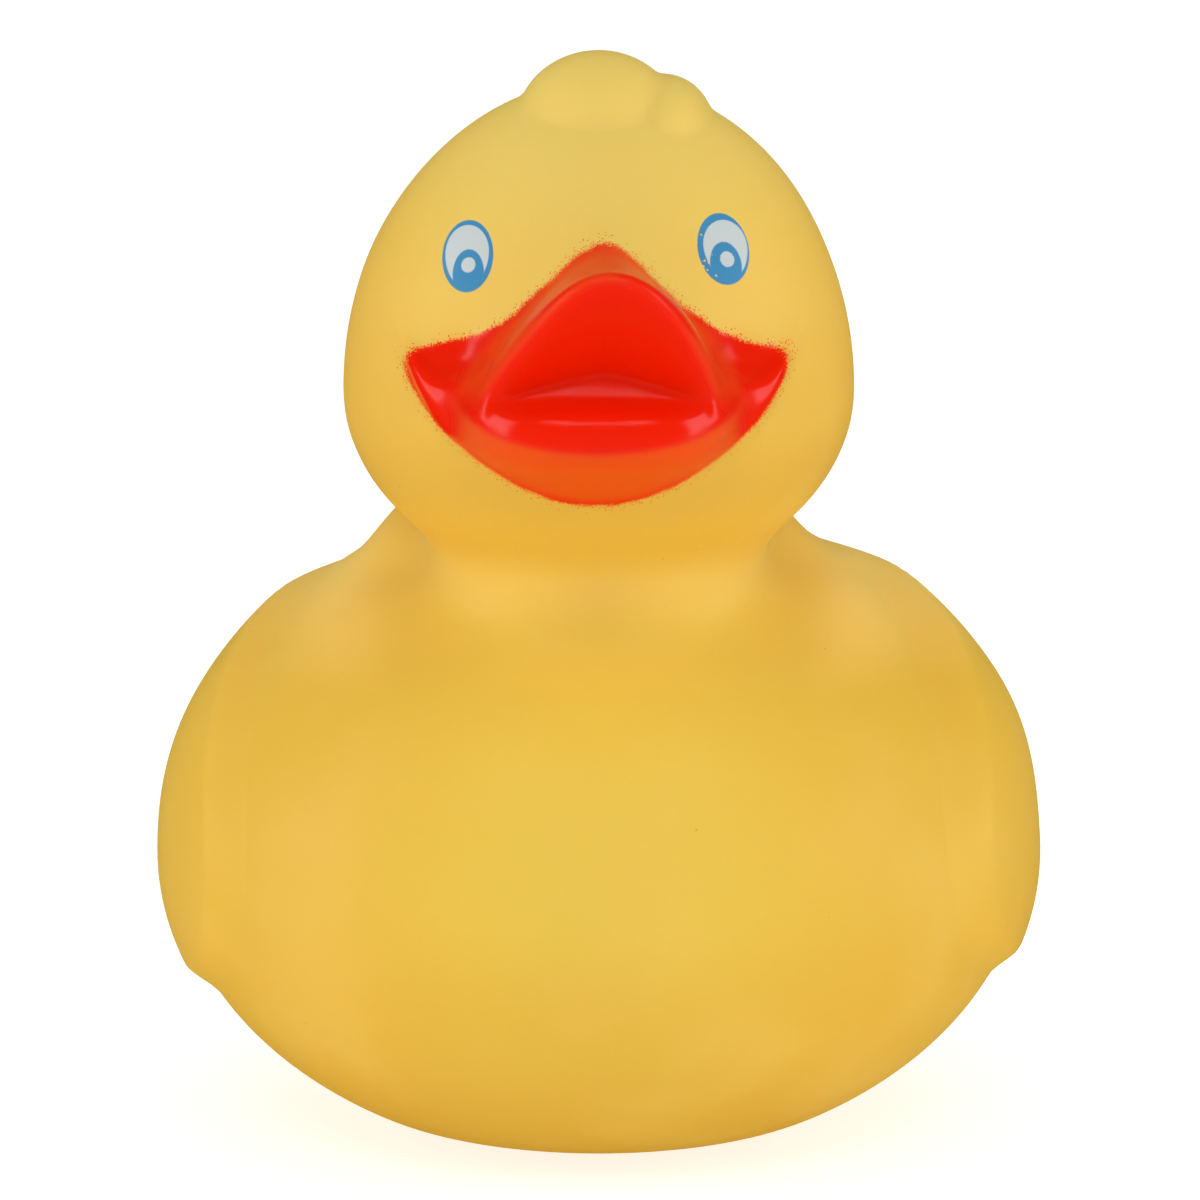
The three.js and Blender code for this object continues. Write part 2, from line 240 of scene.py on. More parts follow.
@dataclass(frozen=True)
class Tuft:
    """Two soft lobes of moulded feathers on the crown."""

    big: Egg = Egg((0.0, -13.5, 83.9), (6.6, 8.0, 4.6), (6.5, 10.0, 5.85))
    small: Egg = Egg((5.1, -12.8, 83.6), (4.2, 8.0, 4.0), (4.1, 8.0, 4.2))
    crease: float = 0.6
    fillet: float = 0.7

    def level(self, p: Points) -> np.ndarray:
        """Returns the tuft's level at the points, negative inside."""
        return smooth_min(self.big.level(p), self.small.level(p), self.crease)


@dataclass(frozen=True)
class UpperBill:
    """A vault that runs forward from the face, solid until the mouth is cut out of it."""

    half_width: float = 10.7
    arch: float = 12.1
    crown: float = 75.9
    dip_y: float = -38.5
    upturn: float = 0.010
    tip_y: float = -46.4
    sweep: float = 12.6
    sweep_power: float = 2.6
    lean_root: float = 0.55
    lean_tip: float = 0.4
    lean_y: Span = (-30.0, -46.0)
    lean_z: Span = (63.0, 73.0)
    floor_z: float = 62.4
    back_y: float = -16.0
    root_power: float = 1.5
    rim_power: float = 2.0
    gable_y: Span = (-40.0, -31.0)
    rim_round: float = 2.0
    floor_round: float = 2.2
    back_round: float = 1.5
    fillet: float = 5.5

    def aside(self, p: Points) -> np.ndarray:
        """Returns the distance from the bill's own middle plane, which leans a little to the duck's left."""
        lean = self.lean_root + self.lean_tip * smooth_step(*self.lean_y, p[1])
        return np.abs(p[0] - lean * smooth_step(*self.lean_z, p[2]))

    def top(self, p: Points) -> np.ndarray:
        """Measures points against the vault's outer face.

        Args:
            p: The points, in mm.

        Returns:
            About the distance above the face, negative below it.
        """
        u = self.aside(p)
        gable = smooth_step(*self.gable_y, p[1])
        power = self.rim_power + (self.root_power - self.rim_power) * gable
        fall = self.arch * (u / self.half_width) ** power
        slope = self.arch * power * (u / self.half_width) ** (power - 1.0) / self.half_width
        crown = self.crown + self.upturn * (p[1] - self.dip_y) ** 2
        return (p[2] - crown + fall) / np.sqrt(1.0 + slope**2)

    def rim_y(self, p: Points) -> np.ndarray:
        """Returns how far forward the rim reaches at the points' distance aside."""
        return self.tip_y + self.sweep * (self.aside(p) / self.half_width) ** self.sweep_power

    def level(self, p: Points) -> np.ndarray:
        """Measures points against the upper bill's skin.

        Args:
            p: The points, in mm.

        Returns:
            About the distance to the skin, negative inside.
        """
        power = self.sweep_power
        slope = self.sweep * power * self.aside(p) ** (power - 1.0) / self.half_width**power
        front = (self.rim_y(p) - p[1]) / np.sqrt(1.0 + slope**2)
        d = smooth_max(self.top(p), front, self.rim_round)
        d = smooth_max(d, self.floor_z - p[2], self.floor_round)
        return smooth_max(d, p[1] - self.back_y, self.back_round)


@dataclass(frozen=True)
class LowerBill:
    """A short scoop with a rounded lip, a basin in its top, and a thin flare out to each cheek."""

    head: Egg = Trunk.head
    half_width: float = 10.4
    length: float = 14.8
    middle_y: float = -27.0
    power: float = 2.6
    slope: float = 11.0
    lip_z: float = 64.8
    lip_rise: float = -0.006
    lip_round: float = 2.4
    flare_stand: float = 1.8
    flare_z: float = 65.8
    flare_from: float = 9.0
    flare_rise: float = 0.008
    flare_edge: float = 2.0
    flare_half: float = 15.0
    flare_fillet: float = 3.6
    chin_y: float = -30.0
    chin_z: float = 55.9
    chin_rise: float = 0.044
    chin_run: float = 11.0
    chin_slope: float = 0.9
    front_z: float = 60.4
    front_rise: float = 0.014
    chin_round: float = 2.1
    back_y: float = -16.0
    back_round: float = 1.5
    fillet: float = 3.0

    def chin(self, p: Points) -> np.ndarray:
        """Finds the bill's underside, which climbs forward from the face to the lip.

        Args:
            p: The points, in mm.

        Returns:
            The underside's height above or below each point, in mm.
        """
        back = self.chin_z + self.chin_rise * p[0] ** 2
        front = self.front_z + self.front_rise * p[0] ** 2
        return back + (front - back) * (self.chin_y - p[1]) / self.chin_run

    def plan(self, p: Points) -> np.ndarray:
        """Measures points against the scoop's outline, seen from above.

        Args:
            p: The points, in mm.

        Returns:
            About the distance to the outline, negative inside.
        """
        along = np.abs((p[1] - self.middle_y) / self.length)
        out = (np.abs(p[0]) / self.half_width) ** self.power + along**self.power
        return (out ** (1.0 / self.power) - 1.0) * self.slope

    def level(self, p: Points) -> np.ndarray:
        """Measures points against the lower bill's skin.

        Args:
            p: The points, in mm.

        Returns:
            About the distance to the skin, negative inside.
        """
        x = np.abs(p[0])
        lip = p[2] - self.lip_z - self.lip_rise * x**2
        d = smooth_max(self.plan(p), lip, self.lip_round)
        edge = p[2] - self.flare_z - self.flare_rise * np.maximum(x - self.flare_from, 0.0) ** 3
        flare = smooth_max(self.head.level(p) - self.flare_stand, edge, self.flare_edge)
        flare = smooth_max(flare, x - self.flare_half, self.flare_edge)
        d = smooth_min(d, flare, self.flare_fillet)
        d = smooth_max(d, (self.chin(p) - p[2]) * self.chin_slope, self.chin_round)
        return smooth_max(d, p[1] - self.back_y, self.back_round)


@dataclass(frozen=True)
class Mouth:
    """The hollow of the open bill: an arched roof that falls back to a crease, over a shallow basin."""

    upper: UpperBill = UpperBill()
    lower: LowerBill = LowerBill()
    rim_z: float = 73.9
    rim_fall: float = 8.8
    half_width: float = 9.1
    inset: float = 0.6
    crease_y: float = -39.0
    crease_sweep: float = 2.2
    crease_z: float = 67.6
    crease_fall: float = 3.0
    crease_power: float = 1.4
    roof_power: float = 1.15
    roof_slope: float = 0.72
    back_lean: float = -0.3
    side_round: float = 3.0
    back_round: float = 0.6
    rim_round: float = 3.6
    basin_half: float = 7.6
    basin_back: float = -36.2
    basin_wall: float = 1.9
    basin_z: float = 64.5
    basin_corner: float = 2.0
    basin_edge: float = 1.4

    def roof(self, p: Points) -> np.ndarray:
        """Measures points against the space under the arched roof.

        Args:
            p: The points, in mm.

        Returns:
            About the distance to the space's wall, negative inside the space.
        """
        u = self.upper.aside(p)
        rim_y = self.upper.rim_y(p)
        crease_y = self.crease_y + self.crease_sweep * (u / self.half_width) ** self.upper.sweep_power
        run = np.clip((p[1] - rim_y - self.inset) / (crease_y - rim_y - self.inset), 0.0, 1.0)
        rim = self.rim_z - self.rim_fall * (u / self.half_width) ** 2
        crease = self.crease_z - self.crease_fall * (u / self.half_width) ** self.crease_power
        under = (p[2] - rim - (crease - rim) * run**self.roof_power) * self.roof_slope
        d = smooth_max(under, u - self.half_width, self.side_round)
        back = p[1] - crease_y - self.back_lean * (crease - p[2])
        return smooth_max(d, back / math.hypot(1.0, self.back_lean), self.back_round)

    def basin(self, p: Points) -> np.ndarray:
        """Measures points against the shallow basin behind the lip.

        Args:
            p: The points, in mm.

        Returns:
            About the distance to the basin's wall, negative inside the basin.
        """
        wall = self.lower.plan(p) + self.basin_wall
        d = smooth_max(np.abs(p[0]) - self.basin_half, wall, self.basin_corner)
        d = smooth_max(d, p[1] - self.basin_back, self.basin_corner)
        return smooth_max(d, self.basin_z - p[2], self.basin_edge)


@dataclass(frozen=True)
class VentHole:
    """The small hole in the flat base that lets air in and out of the hollow."""

    radius: float = 1.5
    y: float = 2.0
    depth: float = 3.4
    edge: float = 0.5

    def level(self, p: Points) -> np.ndarray:
        """Returns the level of the hole's bore, negative inside the bore."""
        off = np.sqrt(p[0] ** 2 + (p[1] - self.y) ** 2) - self.radius
        return smooth_max(off, p[2] - self.depth, self.edge)


@dataclass(frozen=True)
class DuckForm:
    """The whole outer skin as one signed field."""

    trunk: Trunk = Trunk()
    tuft: Tuft = Tuft()
    upper: UpperBill = UpperBill()
    lower: LowerBill = LowerBill()
    mouth: Mouth = Mouth()
    vent: VentHole = VentHole()
    dimple: Egg = Egg((13.0, -31.2, 68.0), (3.6, 2.8, 2.0), (3.6, 2.8, 2.0))
    dimple_round: float = 2.2

    def level(self, p: Points) -> np.ndarray:
        """Measures points against the duck's whole skin.

        Args:
            p: The points, in mm.

        Returns:
            About the distance to the skin, negative inside.
        """
        d = smooth_min(self.trunk.level(p), self.tuft.level(p), self.tuft.fillet)
        vault = smooth_max(self.upper.level(p), -self.mouth.roof(p), self.mouth.rim_round)
        d = smooth_min(d, vault, self.upper.fillet)
        scoop = smooth_max(self.lower.level(p), -self.mouth.basin(p), self.mouth.basin_edge)
        d = smooth_min(d, scoop, self.lower.fillet)
        d = smooth_max(d, -self.dimple.level((np.abs(p[0]), p[1], p[2])), self.dimple_round)
        return smooth_max(d, -self.vent.level(p), self.vent.edge)

    def slope(self, points: np.ndarray, reach: float = 0.02) -> np.ndarray:
        """Measures the field's gradient.

        Args:
            points: An array of points, one to a row, in mm.
            reach: Half the distance between the two samples on each axis, in mm.

        Returns:
            The gradient at each point, one to a row.
        """
        sides = []
        for axis in range(3):
            step = np.zeros(3)
            step[axis] = reach
            sides.append(self.level(tuple((points + step).T)) - self.level(tuple((points - step).T)))
        return np.stack(sides, axis=1) / (2.0 * reach)


# ---- the fine mesh


@dataclass(frozen=True)
class GridAxis:
    """Grid lines on one axis: a run of bands, each with its own spacing."""

    stops: tuple[float, ...]
    steps: tuple[float, ...]

    def lines(self) -> np.ndarray:
        """Spaces the lines evenly within each band.

        Returns:
            The positions of the grid lines, in mm.
        """
        runs = []
        for start, end, step in zip(self.stops, self.stops[1:], self.steps):
            count = max(int(round((end - start) / step)), 1)
            runs.append(np.linspace(start, end, count, endpoint=False))
        return np.append(np.concatenate(runs), self.stops[-1])


@dataclass(frozen=True)
class SkinMesher:
    """Draws the zero level of a form as one closed mesh of quads, finest around the face."""

    x: GridAxis = GridAxis((-37.8, -16.2, 16.2, 37.8), (0.9, 0.4, 0.9))
    y: GridAxis = GridAxis((-48.0, -20.0, -1.0, 5.0, 48.5), (0.4, 0.9, 0.4, 0.9))
    z: GridAxis = GridAxis((-0.83, 4.0, 53.0, 79.0, 91.5), (0.42, 0.9, 0.4, 0.5))
    settle_rounds: int = 4
    relax_rounds: int = 3
    relax_share: float = 0.5
    least_slope: float = 0.1
    longest_step: float = 0.4

    def draw(self, form: DuckForm) -> tuple[np.ndarray, np.ndarray, np.ndarray]:
        """Draws the form.

        Args:
            form: The signed field to draw.

        Returns:
            The vertices in mm, the quads, and the unit normals.
        """
        axes = [self.x.lines(), self.y.lines(), self.z.lines()]
        grid = np.meshgrid(*axes, indexing="ij")
        levels = form.level(tuple(g.ravel() for g in grid)).reshape(grid[0].shape)
        points, quads = self._net(axes, levels)
        for _ in range(self.relax_rounds):
            points = self._settle(form, self._relax(form, points, quads), 1)
        points = self._settle(form, points, self.settle_rounds)
        slope = form.slope(points)
        return points, quads, slope / np.linalg.norm(slope, axis=1, keepdims=True)

    def _net(self, axes: list[np.ndarray], levels: np.ndarray) -> tuple[np.ndarray, np.ndarray]:
        """Joins one vertex in each cell that the zero level crosses.

        Args:
            axes: The grid lines of the three axes.
            levels: The field at the grid's nodes.

        Returns:
            The vertices and the quads.
        """
        inside = levels < 0
        cells = tuple(n - 1 for n in levels.shape)
        total = np.zeros(cells + (3,))
        count = np.zeros(cells)
        crossings = []
        for axis in range(3):
            near = [slice(None)] * 3
            far = [slice(None)] * 3
            near[axis], far[axis] = slice(None, -1), slice(1, None)
            hit = np.argwhere(inside[tuple(near)] != inside[tuple(far)])
            other = hit.copy()
            other[:, axis] += 1
            a, b = levels[tuple(hit.T)], levels[tuple(other.T)]
            spot = np.stack([axes[i][hit[:, i]] for i in range(3)], axis=1)
            spot[:, axis] += a / (a - b) * (axes[axis][other[:, axis]] - axes[axis][hit[:, axis]])
            # The four cells that share each crossed edge of the grid take its crossing point.
            around_edge = {}
            for du, dv in ((0, 0), (0, 1), (1, 0), (1, 1)):
                cell = hit.copy()
                cell[:, (axis + 1) % 3] -= du
                cell[:, (axis + 2) % 3] -= dv
                around_edge[du, dv] = tuple(cell.T)
                total[around_edge[du, dv]] += spot
                count[around_edge[du, dv]] += 1
            crossings.append((inside[tuple(hit.T)], around_edge))
        used = count > 0
        names = np.full(cells, -1)
        names[used] = np.arange(int(used.sum()))
        quads = []
        for outward, around_edge in crossings:
            faces = np.stack([names[around_edge[turn]] for turn in ((1, 1), (0, 1), (0, 0), (1, 0))], axis=1)
            faces[~outward] = faces[~outward, ::-1]
            quads.append(faces)
        return total[used] / count[used][:, None], np.concatenate(quads)

    def _relax(self, form: DuckForm, points: np.ndarray, quads: np.ndarray) -> np.ndarray:
        """Slides each vertex along the skin towards the middle of its neighbours.

        Args:
            form: The signed field, whose slope gives the skin's direction.
            points: The vertices.
            quads: The faces.

        Returns:
            The moved vertices.
        """
        total = np.zeros_like(points)
        count = np.zeros(len(points))
        for i in range(4):
            for j in ((i + 1) % 4, (i + 3) % 4):
                np.add.at(total, quads[:, i], points[quads[:, j]])
                np.add.at(count, quads[:, i], 1)
        shift = total / count[:, None] - points
        slope = form.slope(points)
        normal = slope / np.maximum(np.linalg.norm(slope, axis=1, keepdims=True), TINY)
        shift -= normal * np.sum(shift * normal, axis=1, keepdims=True)
        return points + shift * self.relax_share

    def _settle(self, form: DuckForm, points: np.ndarray, rounds: int) -> np.ndarray:
        """Brings each vertex onto the zero level by Newton's steps.

        Args:
            form: The signed field.
            points: The vertices.
            rounds: How many steps to take.

        Returns:
            The settled vertices.
        """
        for _ in range(rounds):
            slope = form.slope(points)
            steep = np.maximum(np.sum(slope**2, axis=1), self.least_slope)
            step = form.level(tuple(points.T)) / steep
            points = points - slope * np.clip(step, -self.longest_step, self.longest_step)[:, None]
        return points


# ---- print and paint, as fields on the skin


@dataclass(frozen=True)
class PrintedEgg:
    """One flat egg of a pad print, as the pad sees it: across and up, in mm."""

    across: float
    up: float
    half_width: float
    below: float
    above: float
    lean: float = 0.0

    def inset(self, u: np.ndarray, v: np.ndarray) -> np.ndarray:
        """Measures how far inside the egg points lie.

        Args:
            u: The points' places across the pad.
            v: The points' places up the pad.

        Returns:
            The distance inside the outline, negative outside it.
        """
        turn = math.radians(self.lean)
        a = (u - self.across) * math.cos(turn) - (v - self.up) * math.sin(turn)
        b = (u - self.across) * math.sin(turn) + (v - self.up) * math.cos(turn)
        tall = np.where(b < 0, self.below, self.above)
        reach = np.sqrt((a / self.half_width) ** 2 + (b / tall) ** 2)
        slope = np.sqrt((a / self.half_width**2) ** 2 + (b / tall**2) ** 2)
        return reach * (1.0 - reach) / np.maximum(slope, TINY)


@dataclass(frozen=True)
class PrintedEye:
    """An eye in two inks: a blue egg, and a white crescent and spot over it."""

    rim: PrintedEgg
    white: PrintedEgg
    pupil: PrintedEgg
    spot: PrintedEgg

    def eggs(self) -> tuple[PrintedEgg, ...]:
        """Returns the four eggs in the order of the skin's ink fields."""
        return self.rim, self.white, self.pupil, self.spot


@dataclass(frozen=True)
class EyePrint:
    """The pair of eyes, struck on the face by pads that come in a little from above."""

    stroke: float = 10.0
    front_y: float = -14.0
    low_z: float = 69.0
    right: PrintedEye = PrintedEye(
        rim=PrintedEgg(-10.25, 69.3, 2.02, 2.87, 2.9, 3.0),
        white=PrintedEgg(-10.3, 69.6, 1.72, 2.7, 2.2, 3.0),
        pupil=PrintedEgg(-10.2, 67.9, 1.24, 1.9, 1.95, 2.0),
        spot=PrintedEgg(-10.2, 68.6, 0.56, 0.62, 0.62, 18.0),
    )
    left: PrintedEye = PrintedEye(
        rim=PrintedEgg(9.75, 69.85, 2.02, 2.87, 2.9, -11.0),
        white=PrintedEgg(9.9, 70.1, 1.72, 2.6, 2.1, -11.0),
        pupil=PrintedEgg(9.95, 68.6, 1.24, 1.9, 1.85, -10.0),
        spot=PrintedEgg(10.05, 69.05, 0.56, 0.64, 0.64, -20.0),
    )

    def insets(self, p: Points) -> list[np.ndarray]:
        """Measures the printed eggs on the skin, both eyes together.

        Args:
            p: The skin's vertices, in mm.

        Returns:
            How far inside the rim, the white, the pupil and the spot each vertex lies.
        """
        turn = math.radians(self.stroke)
        up = p[1] * math.sin(turn) + p[2] * math.cos(turn)
        elsewhere = np.minimum(self.front_y - p[1], p[2] - self.low_z)
        pairs = zip(self.right.eggs(), self.left.eggs())
        return [np.minimum(np.maximum(a.inset(p[0], up), b.inset(p[0], up)), elsewhere) for a, b in pairs]


@dataclass(frozen=True)
class BillSpray:
    """The red enamel sprayed on the bill through a mask: where it ends and how thick it lies."""

    apex: float = 9.1
    brow_z: float = 67.6
    brow_half: float = 7.3
    brow_power: float = 1.75
    sway_high: float = 0.4
    sway_low: float = -0.25
    sway_z: Span = (66.0, 71.0)
    chin_z: float = 56.0
    chin_rise: float = 0.041
    corner_x: float = 15.9
    corner_round: float = 3.6
    bill_reach: float = 0.3
    bill_stand: float = 3.0
    front_y: float = -20.0
    top_coat: float = 0.45
    top_depth: Span = (1.5, 0.5)
    top_z: Span = (63.0, 66.0)
    under_rise: float = 0.015
    under_depth: Span = (1.6, 0.4)
    under_x: Span = (12.5, 9.0)
    edge_coat: float = 0.7
    edge_width: float = 1.2

    def outline(self, p: Points) -> np.ndarray:
        """Measures points against the mask's outline, seen from the front.

        Args:
            p: The skin's vertices, in mm.

        Returns:
            How far inside the outline each vertex lies, in mm.
        """
        share = smooth_step(*self.sway_z, p[2])
        sway = self.sway_low + (self.sway_high - self.sway_low) * share
        x = np.abs(p[0] - sway)
        away = x / self.brow_half
        bell = self.apex * np.exp(-(away**self.brow_power))
        brow = self.brow_z + bell - p[2]
        steep = bell * self.brow_power * away ** (self.brow_power - 1.0) / self.brow_half
        chin = p[2] - self.chin_z - self.chin_rise * x**2
        d = smooth_min(
            brow / np.sqrt(1.0 + steep**2),
            chin / np.sqrt(1.0 + (2.0 * self.chin_rise * x) ** 2),
            self.corner_round,
        )
        return smooth_min(d, self.corner_x - x, self.corner_round)

    def inset(self, p: Points, form: DuckForm) -> np.ndarray:
        """Measures how deep points lie in the sprayed area; the bill itself is painted all over.

        Args:
            p: The skin's vertices, in mm.
            form: The duck, whose two bills stand out past the outline.

        Returns:
            How far inside the painted area each vertex lies, in mm.
        """
        bills = self.bill_reach - np.minimum(form.upper.level(p), form.lower.level(p))
        bills = np.minimum(bills, form.trunk.head.level(p) - self.bill_stand)
        return np.minimum(np.maximum(self.outline(p), bills), self.front_y - p[1])

    def coat(self, p: Points, form: DuckForm) -> np.ndarray:
        """Measures how much enamel lies on the skin: full in the mouth, thin on the vault and under the chin.

        Args:
            p: The skin's vertices, in mm.
            form: The duck, whose vault and chin faces are the thin ones.

        Returns:
            The share of a full coat at each vertex, from 0 to 1.
        """
        vault = smooth_step(*self.top_depth, np.abs(form.upper.top(p))) * smooth_step(*self.top_z, p[2])
        under = smooth_step(*self.under_depth, p[2] - form.lower.chin(p) - self.under_rise * p[0] ** 2)
        under = under * smooth_step(*self.under_x, np.abs(p[0]))
        coat = 1.0 - (1.0 - self.top_coat) * vault - under
        edge = self.edge_coat * smooth_step(self.edge_width, 0.0, self.outline(p))
        return np.clip(np.maximum(coat, edge), 0.0, 1.0)


class SkinField(Enum):
    """The fields that the skin carries for its material, in the order they are measured."""

    SPRAY = "spray_inset"
    COAT = "spray_coat"
    RIM = "eye_rim_inset"
    WHITE = "eye_white_inset"
    PUPIL = "eye_pupil_inset"
    SPOT = "eye_spot_inset"


# ---- finishes

# Settings that several nodes share: an S-curve for a ramp, and a mix of colours instead of numbers.
SMOOTH = {"interpolation_type": "SMOOTHSTEP"}
COLOURS = {"data_type": "RGBA"}


class Kind(Enum):
    """The shader nodes that the material is made of."""

    FIELD = "ShaderNodeAttribute"
    PLACE = "ShaderNodeTexCoord"
    SCALE = "ShaderNodeVectorMath"
    AXES = "ShaderNodeSeparateXYZ"
    CHANNELS = "ShaderNodeSeparateColor"
    MATH = "ShaderNodeMath"
    MIX = "ShaderNodeMix"
    RAMP = "ShaderNodeMapRange"
    NOISE = "ShaderNodeTexNoise"
    CELLS = "ShaderNodeTexVoronoi"
    BUMP = "ShaderNodeBump"
    SURFACE = "ShaderNodeBsdfPrincipled"
    OUTPUT = "ShaderNodeOutputMaterial"


def linear(colour: str) -> tuple[float, float, float, float]:
    """Turns an sRGB hex colour into linear light.

    Args:
        colour: Six hex digits after a hash.

    Returns:
        Red, green, blue and a full alpha.
    """
    parts = [int(colour[i : i + 2], 16) / 255.0 for i in (1, 3, 5)]
    light = [v / 12.92 if v <= 0.04045 else ((v + 0.055) / 1.055) ** 2.4 for v in parts]
    return (light[0], light[1], light[2], 1.0)


def node(tree: Tree, kind: Kind, links: dict | None = None, **settings: object) -> Node:
    """Adds one shader node.

    Args:
        tree: The material's node tree.
        kind: Which node it is.
        links: Sockets by name or index, each with a value, an output, or a node that gives its first output.
        settings: Properties of the node.

    Returns:
        The new node.
    """
    made = tree.nodes.new(kind.value)
    for name, value in settings.items():
        setattr(made, name, value)
    for socket, value in (links or {}).items():
        source = value.outputs[0] if isinstance(value, Node) else value
        if isinstance(source, Socket):
            tree.links.new(source, made.inputs[socket])
        else:
            made.inputs[socket].default_value = source
    return made


@dataclass(frozen=True)
class RotocastVinyl:
    """Plasticised PVC cast in a blasted mould: satin, faintly grained, and slightly translucent.

    The real vinyl is taken to be one colour. The bands, by height in mm, and the tints on the flanks and
    shoulders are set to suit this studio's light, so they hold some of the duck's shading. A pair of values
    says where a share is none and where it is full.
    """

    # Painted light and shade by height: darker at the base and under the chin, paler at the shoulders and
    # towards the crown.
    bands: tuple[tuple[float, str], ...] = (
        (4.0, "#d7a934"),
        (14.0, "#dfb540"),
        (26.0, "#e3c14c"),
        (38.0, "#e5c248"),
        (44.0, "#eac44d"),
        (48.0, "#f3c858"),
        (52.0, "#e7b63e"),
        (57.0, "#deb043"),
        (63.0, "#e3b84c"),
        (72.0, "#e7c35c"),
        (84.0, "#e4c764"),
    )
    # Painted shade: a deeper, more orange tone towards the flanks, where the sides turn from the light.
    flank: str = "#e0ab37"
    flank_shade_x_mm: Span = (5.0, 24.0)
    flank_shade_share: float = 0.55
    # Painted light: a paler tone in the hollow between neck and wing, lifting the shade there.
    shoulder_light: str = "#fbd26c"
    shoulder_light_low_mm: Span = (38.0, 46.0)
    shoulder_light_high_mm: Span = (55.0, 49.0)
    shoulder_light_x_mm: Span = (15.0, 22.0)
    patch: str = "#eac158"
    patch_mm: float = 16.0
    patch_detail: float = 2.0
    patch_range: Span = (0.45, 0.75)
    patch_share: float = 0.35
    dust: str = "#7a5a2a"
    dust_cell_mm: float = 2.6
    dust_mm: float = 0.11
    dust_core: float = 0.4
    dust_above: float = 0.9
    dust_share: float = 0.45
    roughness: float = 0.46
    ior: float = 1.53
    specular: float = 0.15
    depth_mm: float = 2.4
    scatter: float = 0.3
    scatter_reach: Triple = (1.0, 0.55, 0.2)
    grain_mm: float = 0.5
    grain_detail: float = 3.0
    grain_depth_mm: float = 0.05
    grain_bare: float = 0.06
    grain_painted: float = 0.015

    def colour(self, tree: Tree, mm: Socket) -> Socket:
        """Colours the vinyl: painted light and shade by height, flanks and shoulders, soft patches, and a
        little dust.

        Args:
            tree: The material's node tree.
            mm: The place on the skin, in mm.

        Returns:
            The colour's socket.
        """
        axes = node(tree, Kind.AXES, {0: mm})
        height = axes.outputs["Z"]
        aside = node(tree, Kind.MATH, {0: axes.outputs["X"]}, operation="ABSOLUTE")
        layers = []
        # Each band paints the studio's light and shade into the vinyl at its height.
        for (low, _), (high, tone) in zip(self.bands, self.bands[1:]):
            band = {0: height, 1: low, 2: high}
            layers.append((node(tree, Kind.RAMP, band, **SMOOTH), tone))
        # The flank tone is painted shade on the sides.
        flank = {0: aside, 1: self.flank_shade_x_mm[0], 2: self.flank_shade_x_mm[1], 4: self.flank_shade_share}
        layers.append((node(tree, Kind.RAMP, flank, **SMOOTH), self.flank))
        # The shoulder tone is painted light in the hollow between neck and wing.
        layers.append((self._shoulder_light_share(tree, height, aside), self.shoulder_light))
        noise = {"Vector": mm, "Scale": 1.0 / self.patch_mm, "Detail": self.patch_detail}
        low, high = self.patch_range
        patch = {0: node(tree, Kind.NOISE, noise), 1: low, 2: high, 4: self.patch_share}
        layers.append((node(tree, Kind.RAMP, patch, **SMOOTH), self.patch))
        layers.append((self._dust(tree, mm), self.dust))
        colour = linear(self.bands[0][1])
        for share, tone in layers:
            mix = {0: share, 6: colour, 7: linear(tone)}
            colour = node(tree, Kind.MIX, mix, **COLOURS).outputs[2]
        return colour

    def _shoulder_light_share(self, tree: Tree, height: Socket, aside: Node) -> Node:
        """Finds the hollow between neck and wing, which takes a paler tint against the studio's shade.

        Args:
            tree: The material's node tree.
            height: The height on the skin, in mm.
            aside: The distance from the duck's middle plane, in mm.

        Returns:
            The node whose output is the share of the shoulder's tone.
        """
        share = 1.0
        ends = ((height, self.shoulder_light_low_mm), (height, self.shoulder_light_high_mm), (aside, self.shoulder_light_x_mm))
        for value, (none, full) in ends:
            step = node(tree, Kind.RAMP, {0: value, 1: none, 2: full}, **SMOOTH)
            share = node(tree, Kind.MATH, {0: share, 1: step}, operation="MULTIPLY")
        return share

    def _dust(self, tree: Tree, mm: Socket) -> Node:
        """Scatters a few specks of dust, each a dot in one cell out of ten.

        Args:
            tree: The material's node tree.
            mm: The place on the skin, in mm.

        Returns:
            The node whose output is the share of the dust's tone.
        """
        cells = node(tree, Kind.CELLS, {"Vector": mm, "Scale": 1.0 / self.dust_cell_mm})
        size = self.dust_mm / self.dust_cell_mm
        dot = {0: cells, 1: size, 2: size * self.dust_core, 4: self.dust_share}
        dot = node(tree, Kind.RAMP, dot, **SMOOTH)
        pick = node(tree, Kind.CHANNELS, {0: cells.outputs["Color"]})
        few = node(tree, Kind.MATH, {0: pick, 1: self.dust_above}, operation="GREATER_THAN")
        return node(tree, Kind.MATH, {0: dot, 1: few}, operation="MULTIPLY")

    def grain(self, tree: Tree, mm: Socket, spray: Node) -> Node:
        """Gives the vinyl the fine grain of its blasted mould, which the enamel half fills.

        Args:
            tree: The material's node tree.
            mm: The place on the skin, in mm.
            spray: The enamel's mask.

        Returns:
            The node whose output is the bumped normal.
        """
        links = {"Vector": mm, "Scale": 1.0 / self.grain_mm, "Detail": self.grain_detail}
        noise = node(tree, Kind.NOISE, links)
        strength = node(tree, Kind.MIX, {0: spray, 2: self.grain_bare, 3: self.grain_painted})
        depth = self.grain_depth_mm * MM
        return node(tree, Kind.BUMP, {"Strength": strength, "Distance": depth, "Height": noise})


